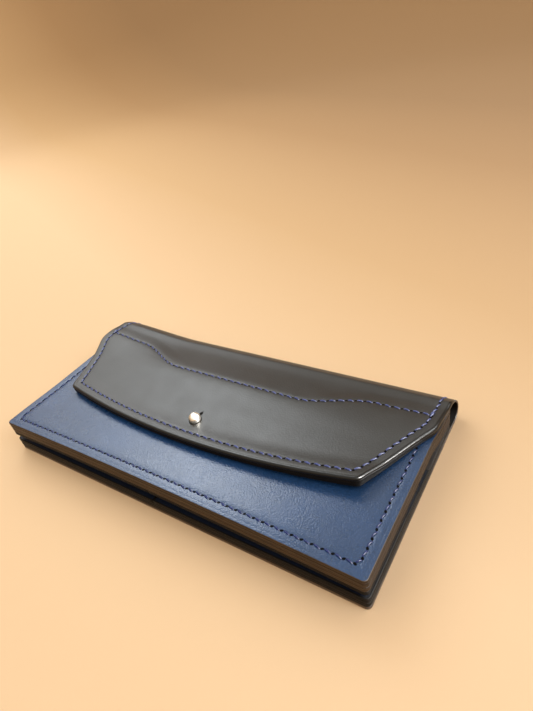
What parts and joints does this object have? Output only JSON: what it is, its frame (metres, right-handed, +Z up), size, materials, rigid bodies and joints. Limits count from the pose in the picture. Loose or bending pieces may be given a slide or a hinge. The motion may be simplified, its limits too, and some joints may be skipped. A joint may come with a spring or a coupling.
{
  "type": "long wallet",
  "caption": "Long bifold leather wallet with a wide shaped flap that buttons over the front half onto a small ball stud.",
  "frame": {"origin": "under the middle of the closed wallet, on the surface it lies on", "axes": "+X along the wallet, +Y from its free front edge towards the folded spine, +Z up through its thickness"},
  "size_m": [0.195, 0.1003, 0.0249],
  "materials": {
    "black_leather": "smooth waxed leather, satin",
    "blue_leather": "fine pebbled grain leather with a satin sheen",
    "brown_leather": "vegetable-tanned leather with burnished edges",
    "dark_lining_leather": "thin lining leather, matte",
    "pocket_leather": "thin grained leather, satin",
    "blue_thread": "waxed braided thread",
    "front_thread": "waxed braided thread",
    "nickel": "polished nickel"
  },
  "bodies": {
    "back_half": {"back_outer_leather": "black_leather", "back_lining": "brown_leather", "back_bill_divider": "dark_lining_leather", "back_card_base": "dark_lining_leather", "back_seam_thread": "blue_thread", "spine_leather": "black_leather", "spine_seam_thread": "blue_thread", "spine_hinge_strip": "brown_leather", "back_card_pocket_left_1": "pocket_leather", "back_card_pocket_left_2": "pocket_leather", "back_card_pocket_left_3": "pocket_leather", "back_card_pocket_right_1": "pocket_leather", "back_card_pocket_right_2": "pocket_leather", "back_card_pocket_right_3": "pocket_leather"},
    "front_half": {"front_blue_panel": "blue_leather", "front_backing": "brown_leather", "front_lining": "brown_leather", "front_bill_divider": "dark_lining_leather", "front_card_base": "dark_lining_leather", "front_seam_thread": "front_thread", "stud_ball": "nickel", "stud_screw": "nickel", "front_card_pocket_left_1": "pocket_leather", "front_card_pocket_left_2": "pocket_leather", "front_card_pocket_left_3": "pocket_leather", "front_card_pocket_right_1": "pocket_leather", "front_card_pocket_right_2": "pocket_leather", "front_card_pocket_right_3": "pocket_leather"},
    "flap": {"flap_leather": "black_leather", "flap_lining": "brown_leather", "flap_edge_thread": "blue_thread", "flap_bracket_thread": "blue_thread"}
  },
  "joints": [
    {"name": "front_open", "type": "hinge", "parent": "back_half", "child": "front_half", "pos_m": [0, 0.0485, 0.01045], "axis": [-1, 0, 0], "range_deg": [0, 180], "deforming": ["spine_leather", "spine_seam_thread", "spine_hinge_strip"]},
    {"name": "flap_open", "type": "hinge", "parent": "front_half", "child": "flap", "pos_m": [0, 0.04, 0.01575], "axis": [-1, 0, 0], "range_deg": [0, 140]}
  ]
}
